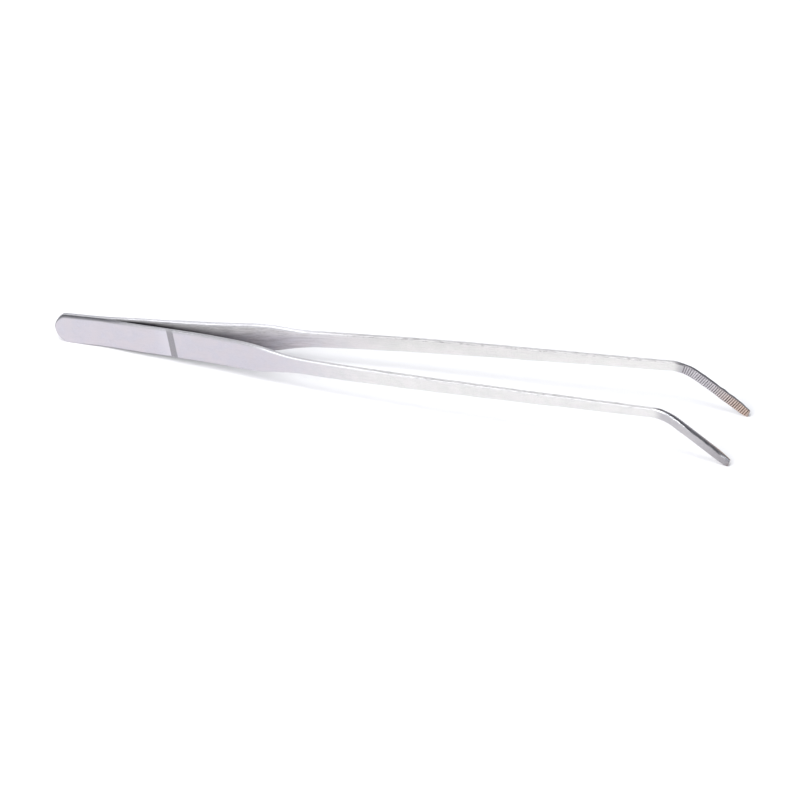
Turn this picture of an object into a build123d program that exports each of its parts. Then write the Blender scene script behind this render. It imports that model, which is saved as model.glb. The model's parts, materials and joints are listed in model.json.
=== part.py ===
from build123d import *
import math
import os

# Long aquascaping tweezers: two steel strips joined face to face at the heel, which open
# like a spring towards slender shanks and down-turned, serrated tips.
#
# Each strip is drawn in a strip frame: X runs from the heel end to the tips, Y is the
# opening direction and Z runs across the strip's wide face. The left strip is the one
# at +Y, and the right strip is its mirror image. The finished pair is pitched so that
# it stands on the heel's lower edge and on both tips.

# ---- Driving dimensions, millimetres and degrees ----
HEEL_WIDTH = 12.2
SHANK_WIDTH = 6.5           # just ahead of the shoulder
TIP_WIDTH = 3.8             # through the bend and along the bent tip
LEAF_THICKNESS = 1.2        # the thin springy part, behind the ramp
ARM_THICKNESS = 1.6         # just ahead of the ramp
BEND_THICKNESS = 1.65
TIP_THICKNESS = 1.45        # at the end of each tip

WELD_LENGTH = 16.0          # the strips lie face to face over this length
HINGE_X = 33.0              # middle of the flexing leaf, which each arm turns about
RAMP_START, RAMP_END = 47.3, 50.1
SHOULDER_START, SHOULDER_END = 76.0, 106.0
BEND_START = 239.5
BEND_RADIUS = 15.4          # of the strip's centre line
BEND_ANGLE = 38.7
BENT_LENGTH = 25.0          # the straight part of the tip, ahead of the bend

# Bow of the left strip's inner face, as (x, distance from the middle plane).
BOW_LEAF = [(WELD_LENGTH, 0.0), (HINGE_X, 1.25), (RAMP_START, 2.07)]
BOW_ARM = [(RAMP_END, 2.23), (68, 3.8), (88, 6.5), (112, 8.95), (145, 11.0), (190, 12.75),
           (BEND_START, 14.25)]
OPENING_AT_TIP = 15.1

HEEL_END_RADIUS = 6.6
HEEL_CORNER_RADIUS = 3.0
NARROWING_TOP, NARROWING_BOTTOM = 8.0, 4.0  # lengths over which the tip's outline draws in
TIP_END_TOP, TIP_END_BOTTOM = 1.2, 1.3      # from the centre line
TIP_END_SLANT = 0.6         # the end's top corner stands back by this much
TIP_CORNER_RADIUS = 0.55

GROOVE_PITCH = 0.9
GROOVE_DEPTH = 0.28
GROOVE_WIDTH = 0.6
GROOVE_COUNT = 33

TOP_GROUND = 0.06           # ground off the bent tip's top edge on its inner side
TOP_SLANT = 0.45            # how much more is ground off its outer side
FACET_WIDTH = 0.6           # ground off the tip's outer top edge, at the tip's end
FACET_LENGTH = 6.0
SPOT_X = (5.5, 11.5)        # the two spot welds
SPOT_RADIUS = 1.8
SPOT_DEPTH = 0.45           # into each strip

CUT_GAP = 0.1               # between a leaf and the arm that turns on it
PAST = 2.0                  # how far outlines and cutters run past what they cut
LENGTH_ROOM = 300.0         # a box longer and wider than the tweezers
STANDING_STEPS = 5          # times the pitch is corrected, which settles it

half_heel = HEEL_WIDTH / 2
half_shank = SHANK_WIDTH / 2
half_tip = TIP_WIDTH / 2
bend = math.radians(BEND_ANGLE)
bend_length = BEND_RADIUS * bend
bend_end_x = BEND_START + BEND_RADIUS * math.sin(bend)
bend_end_z = -BEND_RADIUS * (1 - math.cos(bend))
tip_end_x = bend_end_x + BENT_LENGTH * math.cos(bend)
tip_slope = (OPENING_AT_TIP - BOW_ARM[-1][1]) / (tip_end_x - BEND_START)


def tip_point(along, across):
    """A side-view point (x, z), from the bend's end: along the tip and across its width."""
    x = bend_end_x + along * math.cos(bend) + across * math.sin(bend)
    z = bend_end_z - along * math.sin(bend) + across * math.cos(bend)
    return (x, z)


def thickness(x):
    """The arm's thickness, ahead of the ramp."""
    if x <= BEND_START:
        share = (x - RAMP_END) / (BEND_START - RAMP_END)
        return ARM_THICKNESS + (BEND_THICKNESS - ARM_THICKNESS) * share
    share = (x - BEND_START) / (tip_end_x - BEND_START)
    return BEND_THICKNESS + (TIP_THICKNESS - BEND_THICKNESS) * share


def tip_inner_y(x):
    """The straight inner face, from the bend on."""
    return BOW_ARM[-1][1] + tip_slope * (x - BEND_START)


def long_edge(side):
    """The strip's edge from the heel's corner to the bend: side is 1 above, -1 below."""
    corner_x = HEEL_END_RADIUS - math.sqrt(HEEL_END_RADIUS ** 2 - half_heel ** 2)
    mid = ((SHOULDER_START + SHOULDER_END) / 2, side * (half_heel + half_shank) / 2)
    shoulder_start = (SHOULDER_START, side * half_heel)
    shoulder_end = (SHOULDER_END, side * half_shank)
    grip = Line((corner_x, side * half_heel), shoulder_start)
    shoulder = TangentArc(shoulder_start, mid, tangent=(1, 0))
    waist = TangentArc(mid, shoulder_end, tangent=shoulder % 1)
    shank = Line(shoulder_end, (BEND_START, side * half_tip))
    return [grip, shoulder, waist, shank]


def tip_edge(side, narrowing, end_point):
    """The bend's arc, the bent tip's straight edge and the nose that draws in to the end."""
    offset = side * half_tip
    arc = CenterArc((BEND_START, -BEND_RADIUS), BEND_RADIUS + offset, 90, -BEND_ANGLE)
    straight = Line(arc @ 1, tip_point(BENT_LENGTH - narrowing, offset))
    nose = TangentArc(straight @ 1, end_point, tangent=straight % 1)
    return [arc, straight, nose]


def side_outline():
    """The strip seen square to its wide face."""
    upper, lower = long_edge(1), long_edge(-1)
    top_corner = tip_point(BENT_LENGTH - TIP_END_SLANT, TIP_END_TOP)
    bottom_corner = tip_point(BENT_LENGTH, -TIP_END_BOTTOM)
    heel_end = ThreePointArc(lower[0] @ 0, (0, 0), upper[0] @ 0)
    tip_end = Line(top_corner, bottom_corner)
    tips = tip_edge(1, NARROWING_TOP, top_corner) + tip_edge(-1, NARROWING_BOTTOM, bottom_corner)
    face = make_face([heel_end, *upper, *lower, *tips, tip_end])
    face = fillet(face.vertices().sort_by(Axis.X)[:2], HEEL_CORNER_RADIUS)
    return fillet(face.vertices().sort_by(Axis.X)[-2:], TIP_CORNER_RADIUS)


def plan_outline():
    """The left strip seen from above: the inner and outer faces, with the ramp between."""
    front_x = tip_end_x + PAST
    front_y = tip_inner_y(front_x)
    outer_leaf = [(x, y + LEAF_THICKNESS) for x, y in BOW_LEAF]
    outer_arm = [(x, y + thickness(x)) for x, y in BOW_ARM]
    front_outer = (front_x, front_y + thickness(front_x))
    edges = [
        Line((-PAST, 0), BOW_LEAF[0]),
        Spline(*BOW_LEAF, *BOW_ARM, tangents=[(1, 0), (1, tip_slope)]),
        Line(BOW_ARM[-1], (front_x, front_y)),
        Line((front_x, front_y), front_outer),
        Line(front_outer, outer_arm[-1]),
        Spline(*outer_arm),
        Line(outer_arm[0], outer_leaf[-1]),
        Spline(*outer_leaf),
        Line(outer_leaf[0], (-PAST, LEAF_THICKNESS)),
        Line((-PAST, LEAF_THICKNESS), (-PAST, 0)),
    ]
    return make_face(edges)


def groove_cutter(distance):
    """A V across the tip's inner face, at this distance along the centre line from the bend's start."""
    turned = min(distance / BEND_RADIUS, bend)
    ahead = max(distance - bend_length, 0)
    x = BEND_START + BEND_RADIUS * math.sin(turned) + ahead * math.cos(turned)
    z = -BEND_RADIUS * (1 - math.cos(turned)) - ahead * math.sin(turned)
    frame = Plane(
        (x, tip_inner_y(x), z),
        x_dir=(math.cos(turned), 0, -math.sin(turned)),
        z_dir=(math.sin(turned), 0, math.cos(turned)),
    )
    half = GROOVE_WIDTH / 2
    corners = [(-2 * half, -GROOVE_DEPTH), (2 * half, -GROOVE_DEPTH), (0, GROOVE_DEPTH)]
    vee = make_face(Polyline(*corners, close=True))
    return frame * extrude(vee, TIP_WIDTH, both=True)


def groove_cutters():
    """The tip's grooves, from the middle of the bend to just short of the end."""
    first = bend_length / 2
    return [groove_cutter(first + number * GROOVE_PITCH) for number in range(GROOVE_COUNT)]


def ground_off(start, ahead, across, size):
    """A block above the plane through start that holds the other two directions, to cut with."""
    normal = ahead.cross(across)
    if normal.Z < 0:
        normal = -normal
    plane = Plane(start, x_dir=ahead, z_dir=normal)
    return plane * Box(size, size, size, align=(Align.CENTER, Align.CENTER, Align.MIN))


def slant_cutter():
    """What is ground off the bent tip's top edge to slant it, fading out in the bend and at the end."""
    ground_top = half_tip - TOP_GROUND
    start_x, start_z = tip_point(0, ground_top)
    end_x, end_z = tip_point(BENT_LENGTH, ground_top)
    start = Vector(start_x, tip_inner_y(start_x), start_z)
    end = Vector(end_x, tip_inner_y(end_x), end_z)
    low_x, low_z = tip_point(0, ground_top - TOP_SLANT)
    low = Vector(low_x, tip_inner_y(start_x) + thickness(start_x), low_z)
    return ground_off(start, end - start, low - start, 2 * BENT_LENGTH)


def facet_cutter():
    """What is ground off the outer top edge at the tip's end, from nothing to the facet's width."""
    start_x, start_z = tip_point(BENT_LENGTH - FACET_LENGTH, half_tip)
    top_x, top_z = tip_point(BENT_LENGTH, TIP_END_TOP)
    low_x, low_z = tip_point(BENT_LENGTH, TIP_END_TOP - FACET_WIDTH)
    outer_y = OPENING_AT_TIP + TIP_THICKNESS
    start = Vector(start_x, tip_inner_y(start_x) + thickness(start_x), start_z)
    top = Vector(top_x, outer_y - FACET_WIDTH, top_z)
    low = Vector(low_x, outer_y, low_z)
    return ground_off(start, (top + low) * 0.5 - start, top - low, 2 * FACET_LENGTH)


def spot_sockets():
    """Room for the spot welds in the left strip's inner face."""
    sockets = Cylinder(SPOT_RADIUS, SPOT_DEPTH, align=(Align.CENTER, Align.CENTER, Align.MIN))
    facing_out = Plane((0, 0, 0), x_dir=(1, 0, 0), z_dir=(0, 1, 0))
    return [Pos(x, 0, 0) * (facing_out * sockets) for x in SPOT_X]


def left_strip():
    """The whole left strip, before it is parted at the hinge line."""
    width = extrude(Plane.XZ * side_outline(), LENGTH_ROOM, both=True)
    plan = extrude(plan_outline(), LENGTH_ROOM, both=True)
    strip = width & plan
    return strip - spot_sockets() - groove_cutters() - slant_cutter() - facet_cutter()


def part_at_hinge(strip):
    """The strip's heel leaf and its arm, with the small gap that lets the arm turn."""
    rear = Pos(HINGE_X - CUT_GAP / 2, 0, 0) * Box(
        LENGTH_ROOM, LENGTH_ROOM, LENGTH_ROOM, align=(Align.MAX, Align.CENTER, Align.CENTER))
    front = Pos(HINGE_X + CUT_GAP / 2, 0, 0) * Box(
        LENGTH_ROOM, LENGTH_ROOM, LENGTH_ROOM, align=(Align.MIN, Align.CENTER, Align.CENTER))
    return strip & rear, strip & front


def spot_welds():
    """Two nuggets of fused steel between the strips."""
    nugget = Cylinder(SPOT_RADIUS, 2 * SPOT_DEPTH)
    return [Pos(x, 0, 0) * (Rot(90, 0, 0) * nugget) for x in SPOT_X]


def build_nodes():
    heel_leaf, arm = part_at_hinge(left_strip())
    return {
        "left_heel_leaf": heel_leaf,
        "left_arm": arm,
        "right_heel_leaf": mirror(heel_leaf, Plane.XZ),
        "right_arm": mirror(arm, Plane.XZ),
        "heel_spot_welds": Compound(children=spot_welds()),
    }


def standing_place(nodes):
    """The pitch and lift that put the heel's lower edge and both tips on the ground."""
    pitch = 0.0
    for _ in range(STANDING_STEPS):
        turn = Rot(0, -pitch, 0)
        heel = (turn * nodes["left_heel_leaf"]).bounding_box()
        tip = (turn * nodes["left_arm"]).bounding_box()
        pitch += math.degrees(math.atan2(heel.min.Z - tip.min.Z, tip_end_x))
    heel = (Rot(0, -pitch, 0) * nodes["left_heel_leaf"]).bounding_box()
    tip = (Rot(0, -pitch, 0) * nodes["left_arm"]).bounding_box()
    lift = -min(heel.min.Z, tip.min.Z)
    back = -(heel.min.X + tip.max.X) / 2
    return Pos(back, 0, lift) * Rot(0, -pitch, 0), pitch


def hinge_facts(place, pitch):
    """Prints where the left arm's flexing axis stands, for the record."""
    point = place * Pos(HINGE_X, BOW_LEAF[1][1] + LEAF_THICKNESS / 2, 0)
    tilt = math.radians(pitch)
    print("hinge at", point.position, "axis", (-math.sin(tilt), 0, math.cos(tilt)), "pitch", pitch)


nodes = build_nodes()
place, pitch = standing_place(nodes)
hinge_facts(place, pitch)
os.makedirs("parts", exist_ok=True)
for name, shape in nodes.items():
    export_step(place * shape, f"parts/{name}.step")
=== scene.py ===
import json
import math

import bmesh
import bpy
import numpy as np
from mathutils import Matrix, Vector


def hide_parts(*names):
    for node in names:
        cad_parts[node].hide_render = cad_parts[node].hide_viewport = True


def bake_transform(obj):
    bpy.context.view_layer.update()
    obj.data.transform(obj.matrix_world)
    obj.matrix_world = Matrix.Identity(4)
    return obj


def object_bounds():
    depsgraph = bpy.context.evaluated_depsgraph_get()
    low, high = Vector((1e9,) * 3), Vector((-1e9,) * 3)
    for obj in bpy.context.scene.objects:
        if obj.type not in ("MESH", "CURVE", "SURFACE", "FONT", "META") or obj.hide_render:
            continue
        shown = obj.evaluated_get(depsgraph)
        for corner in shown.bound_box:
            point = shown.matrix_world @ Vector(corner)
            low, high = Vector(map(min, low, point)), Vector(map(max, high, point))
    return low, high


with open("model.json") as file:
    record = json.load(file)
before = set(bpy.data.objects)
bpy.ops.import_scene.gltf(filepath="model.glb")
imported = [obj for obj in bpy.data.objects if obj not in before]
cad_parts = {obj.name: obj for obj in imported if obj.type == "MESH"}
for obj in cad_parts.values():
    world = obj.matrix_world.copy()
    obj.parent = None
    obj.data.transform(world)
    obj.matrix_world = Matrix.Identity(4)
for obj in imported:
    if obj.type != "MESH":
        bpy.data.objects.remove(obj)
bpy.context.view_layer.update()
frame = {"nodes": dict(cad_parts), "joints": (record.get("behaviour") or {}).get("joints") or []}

# Long bent aquascaping tweezers. Each strip is one continuous mesh from the heel to the
# serrated tip. It is drawn in the strip frame, in millimetres: x runs from the heel end
# to the tips, z across the wide face, y outwards from the middle plane.

MM = 0.001

# ---- Driving dimensions, millimetres and degrees, as on the CAD strips ----
HEEL_WIDTH, SHANK_WIDTH, TIP_WIDTH = 12.2, 6.5, 3.8
LEAF_THICKNESS, ARM_THICKNESS, BEND_THICKNESS, TIP_THICKNESS = 1.2, 1.6, 1.65, 1.45
WELD_LENGTH, HINGE_X = 16.0, 33.0
RAMP_START, RAMP_END = 47.3, 50.1
SHOULDER_START, SHOULDER_END = 76.0, 106.0
BEND_START, BEND_RADIUS, BEND_ANGLE, BENT_LENGTH = 239.5, 15.4, 38.7, 25.0
BOW = [(WELD_LENGTH, 0.0), (HINGE_X, 1.25), (RAMP_START, 2.07), (RAMP_END, 2.23), (68, 3.8),
       (88, 6.5), (112, 8.95), (145, 11.0), (190, 12.75), (BEND_START, 14.25)]
OPENING_AT_TIP = 15.1
HEEL_END_RADIUS, HEEL_CORNER_RADIUS = 6.6, 3.0
NARROWING_TOP, NARROWING_BOTTOM = 8.0, 4.0
TIP_END_TOP, TIP_END_BOTTOM, TIP_END_SLANT = 1.2, 1.3, 0.6
TIP_CORNER_RADIUS = 0.55
GROOVE_PITCH, GROOVE_DEPTH, GROOVE_WIDTH, GROOVE_COUNT = 0.9, 0.28, 0.6, 33
FACET_WIDTH, FACET_LENGTH = 0.6, 6.0
TOP_GROUND, TOP_SLANT = 0.06, 0.45  # ground off the tip's top edge inside, and more outside
EDGE_RADIUS = 0.13
RAMP_SKEW = 0.07            # the ramp's lines lean forwards by this much per millimetre down

half_heel, half_shank, half_tip = HEEL_WIDTH / 2, SHANK_WIDTH / 2, TIP_WIDTH / 2
bend = math.radians(BEND_ANGLE)
bend_length = BEND_RADIUS * bend
bend_end = np.array([
    BEND_START + BEND_RADIUS * math.sin(bend),
    -BEND_RADIUS * (1 - math.cos(bend)),
])
tip_along = np.array([math.cos(bend), -math.sin(bend)])
tip_up = np.array([math.sin(bend), math.cos(bend)])
tip_end_x = bend_end[0] + BENT_LENGTH * tip_along[0]
tip_slope = (OPENING_AT_TIP - BOW[-1][1]) / (tip_end_x - BEND_START)


# ---- The strip's faces, seen from above ----

def clamped_spline(points, start_slope, end_slope):
    """Slopes at the points of the smooth curve y(x) that leaves and arrives at these slopes."""
    x, y = np.array(points, float).T
    h, rise = np.diff(x), np.diff(y)
    n = len(x)
    m, r = np.eye(n), np.zeros(n)
    r[0], r[-1] = start_slope, end_slope
    for i in range(1, n - 1):
        m[i, i - 1:i + 2] = [1 / h[i - 1], 2 / h[i - 1] + 2 / h[i], 1 / h[i]]
        r[i] = 3 * (rise[i - 1] / h[i - 1] ** 2 + rise[i] / h[i] ** 2)
    return x, y, np.linalg.solve(m, r)


bow_curve = clamped_spline(BOW, 0.0, tip_slope)


def inner_y(x):
    """Distance of the inner face from the middle plane."""
    x = np.asarray(x, float)
    kx, ky, km = bow_curve
    i = np.clip(np.searchsorted(kx, x) - 1, 0, len(kx) - 2)
    h = kx[i + 1] - kx[i]
    t = (x - kx[i]) / h
    y = (ky[i] * (1 + 2 * t) * (1 - t) ** 2 + km[i] * h * t * (1 - t) ** 2
         + ky[i + 1] * t ** 2 * (3 - 2 * t) + km[i + 1] * h * t ** 2 * (t - 1))
    y = np.where(x <= WELD_LENGTH, 0.0, y)
    return np.where(x >= BEND_START, BOW[-1][1] + tip_slope * (x - BEND_START), y)


def thickness(x):
    """Thin along the leaf, a short ramp, then slowly thicker to the bend and thin at the tip."""
    return np.interp(
        x,
        [RAMP_START, RAMP_END, BEND_START, tip_end_x],
        [LEAF_THICKNESS, ARM_THICKNESS, BEND_THICKNESS, TIP_THICKNESS],
    )


# ---- The strip's outline, seen from the side ----

HEEL_ARC_STEPS, HEEL_CORNER_STEPS = 18, 12
NOSE_POINTS, TIP_CORNER_POINTS, TIP_END_POINTS = 40, 9, 14
BEND_POINTS = 14            # from the bend's start to the first groove
GROOVE_FLOOR = 0.04         # half the width of a groove's flat bottom
RAMP_STEP, STEEP_STEP, PLAIN_STEP, SHANK_STEP = 0.1, 0.75, 1.0, 0.6


def arc_points(centre, radius, start, end, count):
    """Points (x, z) round an arc, angles in radians, the first one left out."""
    angles = np.linspace(start, end, count + 1)[1:]
    return [(centre[0] + radius * math.cos(a), centre[1] + radius * math.sin(a)) for a in angles]


def heel_stations():
    """The upper half of the heel's end, from its rearmost point to the straight edge."""
    across = half_heel - HEEL_CORNER_RADIUS
    reach = HEEL_END_RADIUS - HEEL_CORNER_RADIUS
    corner = (HEEL_END_RADIUS - math.sqrt(reach ** 2 - across ** 2), across)
    join = math.atan2(across, corner[0] - HEEL_END_RADIUS)
    points = [(0.0, 0.0)]
    points += arc_points((HEEL_END_RADIUS, 0), HEEL_END_RADIUS, math.pi, join, HEEL_ARC_STEPS)
    points += arc_points(corner, HEEL_CORNER_RADIUS, join, math.pi / 2, HEEL_CORNER_STEPS)
    return points


def shoulder_half_width(x):
    """Half the strip's width up to the bend: two arcs make the shoulder."""
    middle = (SHOULDER_START + SHOULDER_END) / 2
    run, drop = middle - SHOULDER_START, (half_heel - half_shank) / 2
    radius = (run ** 2 + drop ** 2) / (2 * drop)
    if x <= SHOULDER_START:
        return half_heel
    if x <= middle:
        return half_heel - radius + math.sqrt(radius ** 2 - (x - SHOULDER_START) ** 2)
    if x <= SHOULDER_END:
        return half_shank + radius - math.sqrt(radius ** 2 - (SHOULDER_END - x) ** 2)
    share = (x - SHOULDER_END) / (BEND_START - SHOULDER_END)
    return half_shank + (half_tip - half_shank) * share


def centre_line(distance):
    """Point and direction angle of the centre line, this far past the bend's start."""
    turned = min(distance / BEND_RADIUS, bend)
    ahead = max(distance - bend_length, 0)
    point = np.array([
        BEND_START + BEND_RADIUS * math.sin(turned) + ahead * math.cos(turned),
        -BEND_RADIUS * (1 - math.cos(turned)) - ahead * math.sin(turned),
    ])
    return point, turned


def groove_distances():
    """Distance past the bend's start of each groove's middle."""
    return [bend_length / 2 + number * GROOVE_PITCH for number in range(GROOVE_COUNT)]


def resampled(points, count):
    """This many points, evenly spaced along a line of points."""
    points = np.array(points, float)
    run = np.concatenate([[0], np.cumsum(np.linalg.norm(np.diff(points, axis=0), axis=1))])
    at = np.linspace(0, run[-1], count)
    return np.stack([np.interp(at, run, points[:, 0]), np.interp(at, run, points[:, 1])], axis=1)


def nose_line(side):
    """The bent tip's edge and rounded end, as (along, across) points from the bend's end."""
    top = np.array([BENT_LENGTH - TIP_END_SLANT, TIP_END_TOP])
    bottom = np.array([BENT_LENGTH, -TIP_END_BOTTOM])
    corner, other = (top, bottom) if side > 0 else (bottom, top)
    narrowing = NARROWING_TOP if side > 0 else NARROWING_BOTTOM
    start = np.array([BENT_LENGTH - narrowing, side * half_tip])
    run, drop = corner[0] - start[0], half_tip - abs(corner[1])
    radius = (run ** 2 + drop ** 2) / (2 * drop)
    ahead = np.linspace(0, run, NOSE_POINTS)
    across = side * (half_tip - radius + np.sqrt(radius ** 2 - ahead ** 2))
    curve = np.stack([start[0] + ahead, across], axis=1)
    incoming = (curve[-1] - curve[-2]) / np.linalg.norm(curve[-1] - curve[-2])
    outgoing = (other - corner) / np.linalg.norm(other - corner)
    turn = math.acos(np.clip(incoming @ outgoing, -1, 1))
    setback = TIP_CORNER_RADIUS * math.tan(turn / 2)
    begin, finish = corner - incoming * setback, corner + outgoing * setback
    to_centre = (outgoing - incoming) / np.linalg.norm(outgoing - incoming)
    centre = corner + to_centre * TIP_CORNER_RADIUS / math.cos(turn / 2)
    round_off = []
    for share in np.linspace(0, 1, TIP_CORNER_POINTS):
        way = (begin - centre) * (1 - share) + (finish - centre) * share
        round_off.append(centre + way / np.linalg.norm(way) * TIP_CORNER_RADIUS)
    kept = curve[curve[:, 0] < begin[0]]
    return np.vstack([kept, round_off, [(top + bottom) / 2]])


def tip_distances():
    """Stations from the bend's start to the end of the last groove."""
    stations = list(np.linspace(0, groove_distances()[0] - GROOVE_PITCH / 2, BEND_POINTS))
    offsets = (-GROOVE_WIDTH / 2, -GROOVE_FLOOR, GROOVE_FLOOR, GROOVE_WIDTH / 2)
    for middle in groove_distances():
        stations += [middle + offset for offset in offsets]
    return stations


def side_stations(side):
    """The strip's upper (1) or lower (-1) edge as (x, z) points, and how far along each one is."""
    heel = heel_stations()
    points = [(x, side * z) for x, z in heel]
    along = [x for x, _ in heel]
    body = np.concatenate([
        np.arange(heel[-1][0] + PLAIN_STEP, RAMP_START - 1.5, PLAIN_STEP),
        np.arange(RAMP_START - 1.2, RAMP_END + 1.3, RAMP_STEP),
        np.arange(RAMP_END + 1.5, SHOULDER_START, PLAIN_STEP),
        np.arange(SHOULDER_START, SHOULDER_END, STEEP_STEP),
        np.arange(SHOULDER_END, BEND_START - SHANK_STEP / 2, SHANK_STEP),
    ])
    points += [(x, side * shoulder_half_width(x)) for x in body]
    along += list(body)
    nose = nose_line(side)
    for distance in tip_distances():
        centre, turned = centre_line(distance)
        up = np.array([math.sin(turned), math.cos(turned)])
        ahead = max(distance - bend_length, 0)
        offset = side * half_tip
        if ahead >= nose[0, 0]:
            offset = np.interp(ahead, nose[:, 0], nose[:, 1])
        points.append(tuple(centre + up * offset))
        along.append(BEND_START + distance)
    last = tip_distances()[-1] - bend_length
    start = (last, np.interp(last, nose[:, 0], nose[:, 1]))
    for ahead, across in resampled([start, *nose[nose[:, 0] > last]], TIP_END_POINTS)[1:]:
        points.append(tuple(bend_end + tip_along * ahead + tip_up * across))
        along.append(BEND_START + bend_length + ahead)
    return np.array(points), np.array(along)


# ---- Unevenness of the hand-finished steel, millimetres ----

FLAT_LENGTHS, FLAT_DEPTH, FLAT_RISE = (2.5, 9), 0.12, 0.04  # filed flats along the edges
TILT_SPACING, TILT_DEPTH = 6, 0.1           # how the edges lean
BEVEL_SPACING, BEVEL_GAIN = 4, 0.05         # how much wider the corners are where filed
TIP_BEVEL_SPACING, TIP_BEVEL_DEPTH, TIP_BEVEL_LOSS = 2.6, 0.04, 0.6
SLANT_SPACING, SLANT_DEPTH = 2.2, 0.14      # on the ground slant of the bent tip
SLANT_WEAR = 0.5                            # share of the flats' depth left on the slant
BELT_BEVEL = 0.3                            # wider corners from the bend, and along the inner face
TWIST_SPACING, TWIST_DEPTH = 22, 0.03       # of the faces
WAVE_SPACING, WAVE_DEPTH = 9, 0.015
CROWN = 0.03                                # the outer face's rounding across the strip
GROOVE_SHALLOWER, GROOVE_DEEPER = 0.12, 0.05  # shares of the groove's depth
GROOVE_WALL = 1.12                          # over 1, the groove has a narrow flat bottom


def wavering(rng, x, spacing, depth):
    """A smooth random line over x, within plus or minus depth."""
    knots = np.arange(x.min() - spacing, x.max() + 3 * spacing, spacing)
    heights = rng.uniform(-1, 1, len(knots))
    i = np.clip(np.searchsorted(knots, x) - 1, 0, len(knots) - 2)
    t = (x - knots[i]) / spacing
    t = t * t * (3 - 2 * t)
    return depth * (heights[i] * (1 - t) + heights[i + 1] * t)


def filed_flats(rng, x, shortest, longest, depth):
    """A line of straight flats of random length over x, from 0 to depth deep."""
    knots, heights = [x.min()], [0.0]
    while knots[-1] < x.max():
        knots.append(knots[-1] + rng.uniform(shortest, longest))
        heights.append(rng.uniform(0, depth))
    return np.interp(x, knots, heights)


def top_slant(along):
    """How much lower the tip's top edge is outside. It fades out in the bend and at the end."""
    in_bend = np.clip((BEND_START + bend_length - along) / BEND_RADIUS, 0, bend)
    bend_drop = (BEND_RADIUS + half_tip) * (1 - np.cos(in_bend))
    nose = nose_line(1)
    ahead = along - BEND_START - bend_length
    nose_drop = half_tip - np.interp(ahead, nose[:, 0], nose[:, 1])
    return np.clip(TOP_SLANT + TOP_GROUND - bend_drop - nose_drop, 0, TOP_SLANT)


def slight_slant(along):
    """The left tip was ground with only this share of the slant."""
    return np.full_like(along, 0.3)


def steep_slant(along):
    """The right tip was ground with more than the mean slant, and most towards its end."""
    return np.interp(along, [BEND_START, 262, 272], [1.1, 1.45, 1.7])


def edge_finish(rng, along, ground_slant):
    """Wear, lean, outer bevel and inner bevel along the upper edge, and the same for the lower."""
    tip_middle = BEND_START + bend_length / 2
    tip_end = BEND_START + bend_length + BENT_LENGTH
    filed = np.interp(along, [SHOULDER_START, 128, tip_end - 3, tip_end - 1], [0.15, 1, 1, 0])
    filed *= np.interp(along, [0, 8], [0, 1])
    worn_up, worn_low = (
        filed * (filed_flats(rng, along, *FLAT_LENGTHS, FLAT_DEPTH) - FLAT_RISE) for _ in range(2)
    )
    tilt_up, tilt_low = (filed * wavering(rng, along, TILT_SPACING, TILT_DEPTH) for _ in range(2))
    bevel_up, bevel_low = (
        EDGE_RADIUS + filed * (BEVEL_GAIN + wavering(rng, along, BEVEL_SPACING, BEVEL_GAIN))
        for _ in range(2)
    )

    # The bent tip's top edge is ground to a slant, with crisp corners.
    hand_ground = np.interp(along, [tip_middle - 4, tip_middle + 4, tip_end - 2], [0, 1, 1])
    bevel_up *= 1 - TIP_BEVEL_LOSS * hand_ground
    outer_up = bevel_up + hand_ground * wavering(rng, along, TIP_BEVEL_SPACING, TIP_BEVEL_DEPTH)
    bend_places = [BEND_START + 1, BEND_START + 4, BEND_START + 9, BEND_START + 13]
    outer_up += np.interp(along, bend_places, [0, BELT_BEVEL, 0.25, 0])
    grip_places = [WELD_LENGTH, RAMP_END, SHOULDER_END, SHOULDER_END + 30]
    inner_up = bevel_up + np.interp(along, grip_places, [0, BELT_BEVEL, BELT_BEVEL, 0])
    slant = top_slant(along)
    uneven = wavering(rng, along, SLANT_SPACING, SLANT_DEPTH) * np.clip(slant / TOP_SLANT * 3, 0, 1)
    tilt_up = np.where(slant > 0, -np.maximum(ground_slant(along) * slant + uneven, 0), tilt_up)
    worn_up = np.where(slant > 0, worn_up * SLANT_WEAR, worn_up)
    return (worn_up, tilt_up, outer_up, inner_up), (worn_low, tilt_low, bevel_low, bevel_low)


# ---- The strip's mesh ----

FACE_COLUMNS = 13
CORNER_STEPS = 4
FACET_ROOM = 0.5            # how far behind the facet's start its plane may still cut
GRAIN_MAP_SCALE = 0.01
MERGE_DISTANCE, SHORTEST_EDGE, SHARP_ANGLE = 0.002, 0.001, 32
FOLLOWS_WIDTH = [0, 6, 76, 106, 300], [3, 6.1, 6.1, 3.1, 1.9]  # about half the strip's width


def outline_normals(points, first, last):
    """Unit normals of the edge line, pointing out of the strip."""
    way = np.gradient(points, axis=0)
    way /= np.maximum(np.linalg.norm(way, axis=1, keepdims=True), 1e-9)
    normals = np.stack([-way[:, 1], way[:, 0]], axis=1)
    normals[0], normals[-1] = first, last
    return normals


def edge_ring(points, normals, deep, finish):
    """Rows of points (x, z) round one edge, and each one's depth below the outer face."""
    wear_and_sheen, tilt, outer_bevel, inner_bevel = finish
    angles = np.linspace(0, math.pi / 2, CORNER_STEPS + 1)
    inwards, downwards = 1 - np.sin(angles), 1 - np.cos(angles)
    insets = np.concatenate([
        np.outer(outer_bevel, inwards),
        np.outer(inner_bevel, inwards[::-1]),
    ], axis=1)
    downs = np.concatenate([
        np.outer(outer_bevel, downwards),
        deep[:, None] - np.outer(inner_bevel, downwards[::-1]),
    ], axis=1)
    share = downs / deep[:, None]
    lean = tilt[:, None] * (share - 0.5) + np.abs(tilt)[:, None] / 2
    insets = insets + wear_and_sheen[:, None] + lean
    return points[:, None, :] - normals[:, None, :] * insets[..., None], downs


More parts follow.
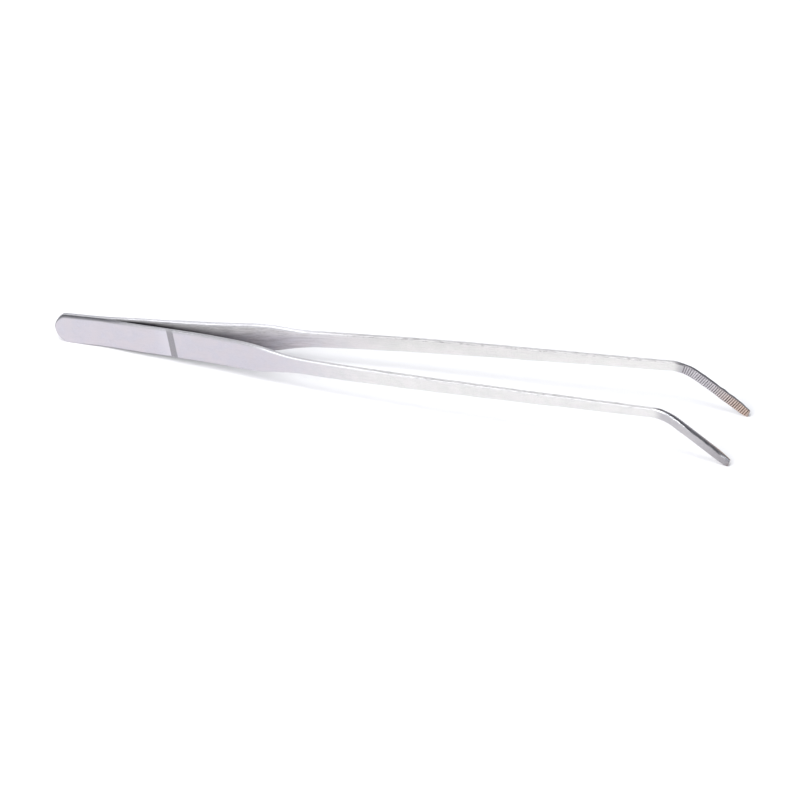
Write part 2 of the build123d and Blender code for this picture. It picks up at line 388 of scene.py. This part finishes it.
def face_between(start, end, columns):
    """Rows of points across a face, between two edges' own points."""
    share = columns[None, :, None]
    return start[:, None] * (1 - share) + end[:, None] * share


def groove_cut(rng, x, z):
    """How far the grooves reach into the strip at each point, from its inner face."""
    turned = np.clip(np.arctan2(x - BEND_START, z + BEND_RADIUS), 0, bend)
    straight = (x - bend_end[0]) * tip_along[0] + (z - bend_end[1]) * tip_along[1]
    distance = BEND_RADIUS * turned + np.maximum(straight, 0)
    cut = np.zeros_like(x)
    for middle in groove_distances():
        deepest = GROOVE_DEPTH * (1 + rng.uniform(-GROOVE_SHALLOWER, GROOVE_DEEPER))
        off_middle = np.abs(distance - middle) / (GROOVE_WIDTH / 2)
        cut = np.maximum(cut, deepest * np.clip(GROOVE_WALL - off_middle * GROOVE_WALL, 0, 1))
    return np.where(distance > 0, cut, 0)


def strip_mesh(name, side, seed, ground_slant):
    """The left (side 1) or right (side -1) strip, in the strip frame, in millimetres."""
    rng = np.random.default_rng(seed)
    upper, along = side_stations(1)
    lower, _ = side_stations(-1)
    upper_finish, lower_finish = edge_finish(rng, along, ground_slant)
    twist = wavering(rng, along, TWIST_SPACING, TWIST_DEPTH)
    wave = wavering(rng, along, WAVE_SPACING, WAVE_DEPTH)

    # Each station's ring runs over the outer face, the upper edge, the inner face, the lower edge.
    deep = thickness((upper[:, 0] + lower[:, 0]) / 2)
    upper_normals = outline_normals(upper, (-1, 0), tip_along)
    up_edge, up_down = edge_ring(upper, upper_normals, deep, upper_finish)
    lower_normals = -outline_normals(lower, (1, 0), -tip_along)
    low_edge, low_down = edge_ring(lower, lower_normals, deep, lower_finish)
    columns = np.linspace(0, 1, FACE_COLUMNS)[1:-1]
    outer_face = face_between(low_edge[:, 0], up_edge[:, 0], columns)
    inner_face = face_between(up_edge[:, -1], low_edge[:, -1], columns)
    ring = np.concatenate([outer_face, up_edge, inner_face, low_edge[:, ::-1]], axis=1)
    zeros, ones = np.zeros((len(along), len(columns))), np.ones(up_down.shape)
    depth = np.concatenate([zeros, up_down, zeros + deep[:, None], low_down[:, ::-1]], axis=1)
    up_face = zeros + (2 * columns - 1)
    down_face = zeros + (1 - 2 * columns)
    across = np.concatenate([up_face, ones, down_face, -ones], axis=1)

    # The faces follow the bow and the thickness, with a little twist, wave and crown.
    x, z = ring[..., 0], ring[..., 1]
    y_in = inner_y(x)
    deep_here = thickness(x + RAMP_SKEW * z)
    y = y_in + deep_here - depth * deep_here / deep[:, None]
    clear_of_weld = np.interp(x, [WELD_LENGTH, HINGE_X], [0, 1])
    y += wave[:, None] * clear_of_weld + twist[:, None] * across * clear_of_weld
    y += (CROWN * (1 - across ** 2) - CROWN) * (1 - depth / deep[:, None])

    # The grooves run right across the inner face and notch both edges.
    groove = groove_cut(rng, x, z)
    raised = np.maximum(y_in + groove - y, 0)
    y += raised
    groove = np.minimum(groove, raised)

    points = np.stack([x, y * side, z], axis=-1)
    rows, per_ring = points.shape[:2]
    index = np.arange(rows * per_ring).reshape(rows, per_ring)
    a, b = index[:-1], index[1:]
    quads = np.stack([a, np.roll(a, -1, axis=1), np.roll(b, -1, axis=1), b], axis=-1).reshape(-1, 4)
    if side < 0:
        quads = quads[:, ::-1]
    mesh = bpy.data.meshes.new(name)
    mesh.from_pydata(points.reshape(-1, 3).tolist(), [], quads.tolist())
    values = {
        "along": np.repeat(along, per_ring),
        "across": (across * np.interp(along, *FOLLOWS_WIDTH)[:, None]).ravel(),
        "inside": (depth / deep[:, None]).ravel(),
        "groove": (groove / GROOVE_DEPTH).ravel(),
        "edge": np.concatenate([zeros, ones, zeros, ones], axis=1).ravel(),
    }
    for key, value in values.items():
        layer = mesh.attributes.new(key, "FLOAT", "POINT")
        layer.data.foreach_set("value", value.astype(np.float32))
    return mesh


def grain_map(mesh):
    """A map whose first axis runs across the strip, so that the grain lies along it."""
    count = len(mesh.vertices)
    along, across, inside = np.empty(count), np.empty(count), np.empty(count)
    for key, values in (("along", along), ("across", across), ("inside", inside)):
        mesh.attributes[key].data.foreach_get("value", values)
    corner_vertex = np.empty(len(mesh.loops), int)
    mesh.loops.foreach_get("vertex_index", corner_vertex)
    layer = mesh.uv_layers.new(name="grain")
    round_strip = across + 2 * inside * np.sign(across)
    pairs = np.stack([round_strip[corner_vertex], along[corner_vertex]], axis=1) * GRAIN_MAP_SCALE
    layer.data.foreach_set("uv", pairs.astype(np.float32).ravel())


def grind_facet(bm, side):
    """Cuts the facet's line into the tip and lays what stands past it onto the facet's plane."""
    start_2d = bend_end + tip_along * (BENT_LENGTH - FACET_LENGTH) + tip_up * half_tip
    top_2d = bend_end + tip_along * BENT_LENGTH + tip_up * TIP_END_TOP
    low_2d = bend_end + tip_along * BENT_LENGTH + tip_up * (TIP_END_TOP - FACET_WIDTH)
    outer_y = OPENING_AT_TIP + TIP_THICKNESS
    start_y = float(inner_y(start_2d[0]) + thickness(start_2d[0]))
    start = Vector((start_2d[0], side * start_y, start_2d[1]))
    top = Vector((top_2d[0], side * (outer_y - FACET_WIDTH), top_2d[1]))
    low = Vector((low_2d[0], side * outer_y, low_2d[1]))
    normal = ((top + low) / 2 - start).cross(top - low).normalized()
    if normal.z < 0:
        normal = -normal
    reach = start.x - FACET_ROOM
    ahead = [v for v in bm.verts if v.co.x > reach]
    chosen = set(ahead)
    faces = [f for f in bm.faces if all(v in chosen for v in f.verts)]
    edges = list({e for f in faces for e in f.edges})
    geometry = ahead + edges + faces
    bmesh.ops.bisect_plane(bm, geom=geometry, plane_co=start, plane_no=normal, dist=1e-5)
    for v in bm.verts:
        if v.co.x > reach:
            past = (v.co - start).dot(normal)
            if past > 0:
                v.co -= normal * past


joints = {joint["name"]: joint for joint in frame["joints"]}


def place_strip(side):
    """From the strip frame in millimetres to the row frame in metres, by the arm's hinge."""
    joint = joints["left_arm_flex" if side > 0 else "right_arm_flex"]
    axis = Vector(joint["axis"]) * (-1 if joint["axis"][2] < 0 else 1)
    pitch = math.atan2(-axis.x, axis.z)
    hinge = Vector(joint["pos_m"])
    leaf_middle = float(inner_y(HINGE_X)) + LEAF_THICKNESS / 2
    own_hinge = Vector((HINGE_X * MM, side * leaf_middle * MM, 0))
    turned = Matrix.Translation(hinge) @ Matrix.Rotation(-pitch, 4, "Y")
    return turned @ Matrix.Translation(-own_hinge) @ Matrix.Scale(MM, 4)


def build_strip(name, side, seed, ground_slant):
    """One strip as an object, in its place in the row frame."""
    mesh = strip_mesh(name, side, seed, ground_slant)
    bm = bmesh.new()
    bm.from_mesh(mesh)
    grind_facet(bm, side)
    bmesh.ops.remove_doubles(bm, verts=bm.verts, dist=MERGE_DISTANCE)
    bmesh.ops.dissolve_degenerate(bm, edges=bm.edges, dist=SHORTEST_EDGE)
    bmesh.ops.recalc_face_normals(bm, faces=bm.faces)
    bm.to_mesh(mesh)
    bm.free()
    grain_map(mesh)
    mesh.transform(place_strip(side))
    mesh.shade_smooth()
    mesh.set_sharp_from_angle(angle=math.radians(SHARP_ANGLE))
    strip = bpy.data.objects.new(name, mesh)
    bpy.context.scene.collection.objects.link(strip)
    return strip


# ---- Materials ----

class Nodes:
    """A material's node tree, with short ways to add and join nodes."""

    def __init__(self, name):
        self.material = bpy.data.materials.new(name)
        self.material.use_nodes = True
        self.tree = self.material.node_tree
        self.tree.nodes.clear()

    def add(self, kind, inputs=None, **settings):
        node = self.tree.nodes.new(kind)
        for key, value in settings.items():
            setattr(node, key, value)
        for key, value in (inputs or {}).items():
            self.feed(node.inputs[key], value)
        return node

    def feed(self, socket, value):
        if isinstance(value, bpy.types.NodeSocket):
            self.tree.links.new(value, socket)
        elif isinstance(value, bpy.types.Node):
            self.tree.links.new(value.outputs[0], socket)
        else:
            socket.default_value = value

    def math(self, operation, a, b):
        return self.add("ShaderNodeMath", {0: a, 1: b}, operation=operation).outputs[0]

    def times(self, first, *others):
        """All of them multiplied together."""
        for other in others:
            first = self.math("MULTIPLY", first, other)
        return first

    def value_of(self, attribute):
        return self.add("ShaderNodeAttribute", attribute_name=attribute).outputs["Fac"]

    def ramp(self, fac, low, high, start=0.0, end=1.0):
        """fac between low and high becomes start to end."""
        node = self.add("ShaderNodeMapRange", {"Value": fac, "From Min": low, "From Max": high,
                                               "To Min": start, "To Max": end})
        node.interpolation_type = "SMOOTHSTEP"
        return node.outputs[0]

    def mix(self, fac, a, b):
        node = self.add("ShaderNodeMix", data_type="RGBA")
        self.feed(node.inputs["Factor"], fac)
        self.feed(node.inputs[6], a)
        self.feed(node.inputs[7], b)
        return node.outputs[2]

    def noise(self, vector, scale, detail=3.0, roughness=0.5):
        return self.add("ShaderNodeTexNoise", {"Vector": vector, "Scale": scale, "Detail": detail,
                                               "Roughness": roughness}).outputs[0]


# Base colours of the steel. A pair is the two ends of a blotchy mix.
SATIN = (0.56, 0.54, 0.59, 1), (0.59, 0.555, 0.59, 1)
GROUND_AND_SHEEN = (0.70, 0.695, 0.68, 1), (0.75, 0.73, 0.725, 1)
FILED_AND_SHADED = (0.50, 0.485, 0.505, 1), (0.56, 0.54, 0.55, 1)
SHANK_POLISH_AND_SHEEN = (0.82, 0.81, 0.79, 1)
DULLED_AND_SHADED = (0.30, 0.28, 0.30, 1)
STREAK = (0.42, 0.405, 0.43, 1)
PIT = (0.42, 0.41, 0.41, 1)
PAINTED_RIM_HIGHLIGHT = (0.86, 0.85, 0.85, 1)
COARSE_GRAIN = (0.30, 0.28, 0.29, 1)
PAINTED_THROAT_SHADE = (0.05, 0.045, 0.055, 1)
PAINTED_LEAF_HIGHLIGHT = (0.66, 0.65, 0.70, 1)
PAINTED_RAMP_SHADE = (0.23, 0.225, 0.235, 1)
SHANK_EDGE = (0.56, 0.55, 0.555, 1)
NICK = (0.27, 0.26, 0.265, 1)
PAINTED_EDGE_HIGHLIGHT = (0.94, 0.94, 0.96, 1)
PAINTED_HEEL_EDGE_SHADE = (0.10, 0.10, 0.11, 1)
PAINTED_TIP_EDGE_SHADE = (0.08, 0.078, 0.085, 1), (0.17, 0.165, 0.175, 1)
SERRATED = (0.74, 0.71, 0.74, 1)
HEAT_TINT = (0.72, 0.54, 0.43, 1)
GROOVE_DARKENING = (0.17, 0.165, 0.18, 1), (0.10, 0.06, 0.045, 1)
SCORCHED = (0.15, 0.09, 0.065, 1)
WELD = (0.45, 0.42, 0.41, 1), (0.55, 0.50, 0.46, 1)
FLOOR = (0.90, 0.90, 0.905, 1), (0.93, 0.93, 0.93, 1)


class StripSteel(Nodes):
    """A strip's steel. One base colour is painted over region by region."""

    def __init__(self, name, seed):
        super().__init__(name)
        self.along, self.across = self.value_of("along"), self.value_of("across")
        self.inside, edge = self.value_of("inside"), self.value_of("edge")
        position = {"X": self.along, "Y": self.across, "Z": self.times(self.inside, 5.0)}
        here = self.add("ShaderNodeCombineXYZ", position)
        shift = (seed * 37.0, seed * 11.0, seed * 5.0)
        self.place = self.add("ShaderNodeVectorMath", {0: here, 1: shift}).outputs[0]
        self.grain = self.stretched_noise((0.12, 6.0, 2.0), 3.0, 4.0, 0.65)
        self.streaks = self.stretched_noise((0.05, 1.6, 1.0), 2.0, 3.0, 0.6)
        self.brushed = self.stretched_noise((0.14, 1.1, 1.0), 1.0, 6.0, 0.75)
        self.scuffs = self.stretched_noise((0.45, 1.6, 1.3), 1.0, 5.0, 0.7)
        self.blotches = self.noise(self.place, 0.22, 4.0, 0.6)
        self.specks = self.noise(self.place, 1.6, 3.0, 0.6)
        self.inner = self.ramp(self.inside, 0.5, 0.9)
        self.top_edge = self.times(edge, self.over(self.across, 0.0))
        self.base = None

    def stretched_noise(self, stretch, *settings):
        """Noise drawn out lengthwise: stretch is how fine it is along, across and through."""
        vector = self.add("ShaderNodeVectorMath", {0: self.place, 1: stretch}, operation="MULTIPLY")
        return self.noise(vector, *settings)

    def over(self, value, limit):
        return self.math("GREATER_THAN", value, limit)

    def under(self, value, limit):
        return self.math("LESS_THAN", value, limit)

    def paint(self, share, colour):
        self.base = self.mix(share, self.base, colour)


def paint_finishes(n):
    """Satin grip, brighter ground shank and darker filed tip, with streaks and pits. The shank's
    brightness is partly painted highlight and the tip's darkness partly painted shade.
    """
    mottle = n.ramp(n.blotches, 0.35, 0.65)
    # Lighter from grip to shank: partly the ground finish, partly painted highlight.
    n.base = n.mix(n.ramp(n.along, 85.0, 140.0), n.mix(mottle, *SATIN), n.mix(mottle, *GROUND_AND_SHEEN))
    # Painted highlight: the shank lighter towards the bend, more on the inner face.
    shank_sheen = n.times(n.ramp(n.along, 150.0, 235.0), n.ramp(n.inner, 0.0, 1.0, 0.2, 0.45))
    n.paint(shank_sheen, SHANK_POLISH_AND_SHEEN)
    # Darker bent tip: partly its filed finish, partly painted shade.
    n.paint(n.ramp(n.along, 240.5, 244.5), n.mix(mottle, *FILED_AND_SHADED))
    # Mottled darkening towards the tip's end: partly wear, partly painted shade.
    n.paint(n.times(n.ramp(n.along, 256.0, 274.0), n.ramp(n.specks, 0.3, 0.7, 0.4, 0.95)), DULLED_AND_SHADED)
    n.paint(n.times(n.ramp(n.streaks, 0.5, 0.75), 0.3), STREAK)
    pits = n.ramp(n.noise(n.place, 3.2, 2.0, 0.5), 0.54, 0.68)
    n.paint(n.times(pits, n.ramp(n.along, 95.0, 130.0), 0.5), PIT)


def paint_inner_face(n):
    """A painted highlight along the top of the inner face, coarse grain, and painted shade between
    the leaves.
    """
    # Painted highlight: the grip's inner face lighter towards its top edge.
    below = n.math("SUBTRACT", half_heel, n.across)
    lit_rim = n.times(n.ramp(below, 0.5, 6.5, 0.85, 0.0), n.ramp(n.along, 104.0, 128.0, 1.0, 0.0))
    n.paint(n.times(n.inner, lit_rim), PAINTED_RIM_HIGHLIGHT)
    coarse = n.ramp(n.brushed, 0.42, 0.62, 0.0, 0.45)
    coarse = n.times(coarse, n.ramp(n.along, 85.0, 120.0, 1.0, 0.0))
    n.paint(n.times(n.inner, coarse), COARSE_GRAIN)
    # Painted shade: the inner face darker towards the bottom, deep in the narrow gap between the
    # leaves.
    reach = n.ramp(n.along, 30.0, 95.0, 1.6, 11.0)
    throat_shade = n.ramp(n.math("DIVIDE", n.math("ADD", below, n.brushed), reach), 0.2, 1.1)
    throat_shade = n.times(throat_shade, n.ramp(n.along, 60.0, 104.0, 0.97, 0.0))
    n.paint(n.times(n.inner, throat_shade), PAINTED_THROAT_SHADE)


def paint_ramp(n):
    """The ramp between leaf and grip painted dark as painted shade, and a painted highlight on the
    leaf beside it.
    """
    leaning = n.math("ADD", n.along, n.times(n.across, RAMP_SKEW))
    outer = n.under(n.inside, 0.1)
    # Painted highlight: the leaf's outer face brighter towards the ramp.
    lit_leaf = n.times(
        n.ramp(leaning, RAMP_START - 7, RAMP_START), n.times(outer, n.under(leaning, RAMP_START)))
    n.paint(n.times(lit_leaf, 0.5), PAINTED_LEAF_HIGHLIGHT)
    # Painted shade: the ramp's band on the outer face is painted dark where its tilted face
    # reflects darker surroundings.
    ramp_shade = n.times(n.over(leaning, RAMP_START), n.under(leaning, RAMP_END), outer)
    n.paint(n.times(ramp_shade, n.ramp(n.specks, 0.3, 0.7, 0.7, 0.8)), PAINTED_RAMP_SHADE)


def paint_top_edge(n, heel_edge_shade, edge_sheen):
    """Worn along the leaf and grip with a painted sheen, nicked on the shank, and painted shade on
    the heel's and the bent tip's top edge.

    Returns where the ground corners of the bend and the tip are polished and painted bright as
    painted highlights.
    """
    # Speckled wear on the top edge, painted in a sheen colour: a painted reflection, bright on the
    # left strip and dim on the right.
    wear_and_sheen = n.times(n.top_edge, n.ramp(n.specks, 0.35, 0.6, 0.5, 0.95))
    sheen_colour = (edge_sheen, edge_sheen, edge_sheen * 1.03, 1)
    n.paint(
        n.times(wear_and_sheen, n.ramp(n.along, 90.0, 110.0, 1.0, 0.7)),
        n.mix(n.ramp(n.along, 90.0, 125.0), sheen_colour, SHANK_EDGE),
    )
    nicked = n.times(n.ramp(n.scuffs, 0.50, 0.60), n.top_edge)
    n.paint(n.times(nicked, n.ramp(n.along, 100.0, 140.0, 0.25, 0.8)), NICK)

    # Painted highlights: the grip's outer top corner, a rim at the bend's start and the tip's end
    # facet are painted bright.
    corner = n.times(n.top_edge, n.under(n.inside, 0.12), n.ramp(n.along, 80.0, 92.0))
    corner = n.times(corner, n.ramp(n.along, 105.0, 160.0, 0.9, 0.3))
    facet = n.times(n.ramp(n.along, 269.0, 271.5), n.under(n.inside, 0.42))
    bend_rim = n.under(n.inside, n.ramp(n.along, 243.0, 256.0, 0.3, 0.0))
    polished_and_highlit = n.math("MAXIMUM", facet, n.times(bend_rim, n.ramp(n.along, 240.0, 242.5)))
    polished_and_highlit = n.times(polished_and_highlit, n.top_edge)
    n.paint(n.math("MAXIMUM", corner, polished_and_highlit), PAINTED_EDGE_HIGHLIGHT)

    # Painted shade on the heel's top edge, fading out between 20 and 34 mm, strong on the right
    # strip and faint on the left.
    n.paint(n.times(n.top_edge, n.ramp(n.along, 20.0, 34.0, 1.0, 0.0), heel_edge_shade), PAINTED_HEEL_EDGE_SHADE)
    # Painted shade: the bent tip's top edge painted dark and mottled where it reflects dark
    # surroundings.
    tip_edge_shade = n.times(n.top_edge, n.ramp(n.along, 240.0, 243.5))
    tip_edge_shade = n.times(tip_edge_shade, n.ramp(n.scuffs, 0.42, 0.60, 0.65, 0.98))
    tip_edge_shade = n.times(tip_edge_shade, n.math("SUBTRACT", 1.0, polished_and_highlit))
    n.paint(tip_edge_shade, n.mix(n.ramp(n.along, 246.0, 256.0), *PAINTED_TIP_EDGE_SHADE))
    return polished_and_highlit


def paint_serrated_face(n):
    """Bright lands, a heat tint towards the end, darker grooves and a scorched end."""
    n.paint(n.times(n.inner, n.ramp(n.along, 243.0, 246.0), 0.85), SERRATED)
    tip = n.ramp(n.math("ADD", n.along, n.times(n.blotches, 6.0)), 258.0, 275.0)
    n.paint(n.times(tip, n.inner, 0.7), HEAT_TINT)
    # Darker in the grooves, browner towards the end.
    in_grooves = n.ramp(n.value_of("groove"), 0.2, 0.8)
    n.paint(n.times(in_grooves, n.ramp(n.along, 243.0, 268.0, 0.5, 0.82)), n.mix(tip, *GROOVE_DARKENING))
    end = n.ramp(n.math("ADD", n.along, n.times(n.blotches, 2.5)), 274.6, 276.4)
    n.paint(n.times(end, 0.6), SCORCHED)


def strip_steel(name, seed, heel_edge_shade, edge_sheen):
    """Brushed steel with lengthwise grain. The third argument is how much painted shade darkens the
    heel's top edge, the fourth how bright the top edge's painted reflection is.
    """
    n = StripSteel(name, seed)
    paint_finishes(n)
    paint_inner_face(n)
    paint_ramp(n)
    polished_and_highlit = paint_top_edge(n, heel_edge_shade, edge_sheen)
    paint_serrated_face(n)

    rough = n.ramp(n.grain, 0.3, 0.7, 0.24, 0.42)
    rough = n.math("ADD", rough, n.ramp(n.blotches, 0.3, 0.7, -0.03, 0.05))
    rough = n.math("ADD", rough, n.times(n.inner, n.ramp(n.brushed, 0.35, 0.65, 0.10, 0.24)))
    rough = n.times(rough, n.ramp(polished_and_highlit, 0.0, 1.0, 1.0, 0.5))
    relief = n.math("ADD", n.times(n.grain, 0.6), n.streaks)
    relief = n.math("ADD", relief, n.times(n.brushed, n.ramp(n.inner, 0.0, 1.0, 0.6, 3.0)))
    bump = n.add("ShaderNodeBump", {"Height": relief, "Strength": 0.25, "Distance": 0.00004})
    shader = n.add("ShaderNodeBsdfPrincipled", {
        "Base Color": n.base, "Metallic": 1.0, "Roughness": rough, "Normal": bump,
        "Tangent": n.add("ShaderNodeTangent", direction_type="UV_MAP", uv_map="grain"),
    })
    shader.inputs["Anisotropic"].default_value = 0.8
    n.add("ShaderNodeOutputMaterial", {"Surface": shader})
    return n.material


def weld_steel():
    """Fused steel of the spot welds: duller, with a coarse grain and a faint oxide tint."""
    n = Nodes("weld_steel")
    place = n.add("ShaderNodeTexCoord").outputs["Object"]
    grain = n.noise(place, 900.0, 4.0, 0.6)
    cloud = n.noise(place, 260.0, 3.0, 0.5)
    base = n.mix(n.ramp(cloud, 0.35, 0.65), *WELD)
    bump = n.add("ShaderNodeBump", {"Height": grain, "Strength": 0.3, "Distance": 0.00005})
    shader = n.add("ShaderNodeBsdfPrincipled", {
        "Base Color": base, "Metallic": 1.0, "Roughness": n.ramp(grain, 0.3, 0.7, 0.35, 0.55),
        "Normal": bump.outputs[0],
    })
    n.add("ShaderNodeOutputMaterial", {"Surface": shader.outputs[0]})
    return n.material


# ---- The pieces ----

# Side, word, random seed, how much painted shade darkens the heel's top edge, how bright the top
# edge's painted reflection is, slant.
STRIPS = (
    (1, "left", 3, 0.2, 0.78, slight_slant),
    (-1, "right", 8, 0.85, 0.42, steep_slant),
)
for side, word, seed, heel_edge_shade, edge_sheen, ground_slant in STRIPS:
    strip = build_strip(f"{word}_strip", side, seed, ground_slant)
    strip.data.materials.append(strip_steel(f"{word}_brushed_steel", seed, heel_edge_shade, edge_sheen))
    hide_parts(f"{word}_heel_leaf", f"{word}_arm")
    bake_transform(strip)

welds = frame["nodes"]["heel_spot_welds"]
welds.data.materials.clear()
welds.data.materials.append(weld_steel())

# ---- Floor, light and camera ----

low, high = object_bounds()
ground = Vector(((low.x + high.x) / 2, (low.y + high.y) / 2, low.z))


def floor_material():
    """Plain pale paper, very slightly cloudy."""
    n = Nodes("pale_floor")
    place = n.add("ShaderNodeTexCoord").outputs["Object"]
    cloud = n.noise(place, 3.0, 3.0, 0.5)
    base = n.mix(cloud, *FLOOR)
    shader = n.add("ShaderNodeBsdfPrincipled", {"Base Color": base, "Roughness": 0.9})
    shader.inputs["Specular IOR Level"].default_value = 0.1
    n.add("ShaderNodeOutputMaterial", {"Surface": shader.outputs[0]})
    return n.material


FLOOR_HALF = 1.6
floor_mesh = bpy.data.meshes.new("floor")
bm = bmesh.new()
bmesh.ops.create_grid(bm, x_segments=8, y_segments=8, size=FLOOR_HALF)
bm.to_mesh(floor_mesh)
bm.free()
floor = bpy.data.objects.new("floor", floor_mesh)
floor.location = ground
floor_mesh.materials.append(floor_material())
bpy.context.scene.collection.objects.link(floor)


def towards(azimuth, elevation):
    """Unit vector from the object, in degrees. Azimuth 0 is at -Y and 90 at +X."""
    a, e = math.radians(azimuth), math.radians(elevation)
    return Vector((math.sin(a) * math.cos(e), -math.cos(a) * math.cos(e), math.sin(e)))


def soft_light(name, azimuth, elevation, distance, size, power):
    """A square white softbox that faces the object."""
    way = towards(azimuth, elevation)
    data = bpy.data.lights.new(name, "AREA")
    data.shape, data.size, data.energy = "SQUARE", size, power
    light = bpy.data.objects.new(name, data)
    light.location = ground + way * distance
    light.rotation_mode = "QUATERNION"
    light.rotation_quaternion = (-way).to_track_quat("-Z", "Y")
    bpy.context.scene.collection.objects.link(light)


soft_light("key", 8, 75, 1.5, 0.42, 6.8)
soft_light("top", 180, 78, 1.6, 1.2, 3.0)
soft_light("front", 355, 30, 1.6, 0.7, 4.2)
soft_light("front_left", 325, 43, 1.6, 0.9, 9.5)
soft_light("left", 280, 35, 1.6, 0.9, 6.0)
soft_light("back", 201, 37, 1.6, 0.6, 1.6)
soft_light("front_right", 41, 32, 1.9, 0.35, 2.4)

WORLD_COLOUR, WORLD_STRENGTH = (0.9, 0.92, 1.0, 1), 0.46
world = bpy.data.worlds.new("studio")
world.use_nodes = True
background = world.node_tree.nodes["Background"]
background.inputs["Color"].default_value = WORLD_COLOUR
background.inputs["Strength"].default_value = WORLD_STRENGTH
bpy.context.scene.world = world

CAMERA_AZIMUTH, CAMERA_ELEVATION, CAMERA_ROLL = 18.79, 35.89, -2.755
CAMERA_DISTANCE, CAMERA_LENS, CAMERA_SENSOR = 1.6124, 193.27, 36.0
CAMERA_NEAR, CAMERA_FAR = 0.05, 20
AIM = Vector((0.0053, -0.0062, 0))  # the point looked at, from the middle of the object's base

back = towards(CAMERA_AZIMUTH, CAMERA_ELEVATION)
camera_data = bpy.data.cameras.new("camera")
camera_data.lens, camera_data.sensor_width = CAMERA_LENS, CAMERA_SENSOR
camera_data.clip_start, camera_data.clip_end = CAMERA_NEAR, CAMERA_FAR
camera = bpy.data.objects.new("camera", camera_data)
camera.location = ground + AIM + back * CAMERA_DISTANCE
camera.rotation_mode = "QUATERNION"
turn = (-back).to_track_quat("-Z", "Y")
roll = Matrix.Rotation(math.radians(CAMERA_ROLL), 4, "Z").to_quaternion()
camera.rotation_quaternion = turn @ roll
bpy.context.scene.collection.objects.link(camera)
bpy.context.scene.camera = camera

bpy.context.scene.view_settings.view_transform = "Standard"
bpy.context.scene.view_settings.look = "None"
